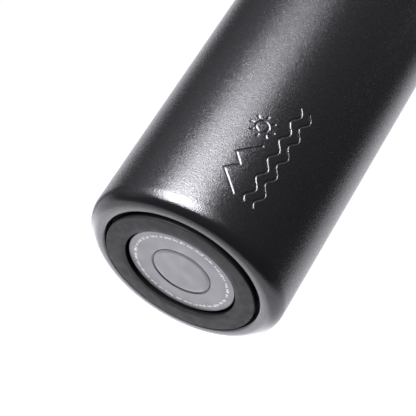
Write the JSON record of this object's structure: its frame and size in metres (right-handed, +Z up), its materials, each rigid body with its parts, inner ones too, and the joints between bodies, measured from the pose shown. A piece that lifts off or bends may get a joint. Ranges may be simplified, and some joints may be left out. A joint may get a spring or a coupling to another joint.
{
  "type": "vacuum flask",
  "caption": "Vacuum-insulated steel flask with a screw lid, folding drinking spout and straw, swinging carry handle, and a rubber foot ring round its recessed steel base.",
  "frame": {"origin": "middle of the foot ring's lower face, where the flask stands", "axes": "+Z up along the flask's axis; -Y to the front, where the spout's tip lies when folded; X along the handle's and the spout's pivots"},
  "size_m": [0.073, 0.073, 0.2843],
  "materials": {
    "powder_coat": "satin",
    "base_steel": "satin",
    "vessel_steel": "satin",
    "foil": "gloss",
    "getter_metal": "matte",
    "solder_glass": "gloss",
    "foot_rubber": "matte",
    "tape": "matte",
    "lid_plastic": "satin",
    "plug_plastic": "satin",
    "spout_plastic": "satin",
    "handle_plastic": "satin",
    "straw_plastic": "satin",
    "silicone": "satin",
    "wadding": "matte",
    "screw_steel": "satin"
  },
  "bodies": {
    "flask": {"outer_shell": "powder_coat", "outer_base": "base_steel", "seal_cover": "base_steel", "seal_bead": "solder_glass", "foot_ring": "foot_rubber", "ring_tape": "tape", "inner_vessel": "vessel_steel", "inner_base": "vessel_steel", "radiation_foil": "foil", "getter_holder": "vessel_steel", "getter_pellet": "getter_metal"},
    "seal": {"lid_gasket": "silicone"},
    "lid": {"lid_plug": "plug_plastic", "lid_foam": "wadding", "lid_shell": "lid_plastic", "spout_seal": "silicone", "spout_pins": "screw_steel", "vent_valve": "silicone", "straw": "straw_plastic", "straw_connector": "silicone", "handle_screws": "screw_steel", "handle_washers": "tape"},
    "spout": {"spout": "spout_plastic"},
    "handle": {"handle": "handle_plastic"}
  },
  "joints": [
    {"name": "lid_lift", "type": "slide", "parent": "flask", "child": "seal", "axis": [0, 0, 1], "range_m": [0, 0.0081]},
    {"name": "lid_turn", "type": "hinge", "parent": "seal", "child": "lid", "pos_m": [0, 0, 0.22], "axis": [0, 0, 1], "range_deg": [0, 720]},
    {"name": "spout_flip", "type": "hinge", "parent": "lid", "child": "spout", "pos_m": [0, 0.009, 0.2385], "axis": [-1, 0, 0], "range_deg": [0, 90]},
    {"name": "handle_swing", "type": "hinge", "parent": "lid", "child": "handle", "pos_m": [0, 0, 0.235], "axis": [1, 0, 0], "range_deg": [-90, 90]}
  ],
  "couplings": [
    {"joint": "lid_lift", "follows": "lid_turn", "m_per_rad": 0.00063662}
  ]
}
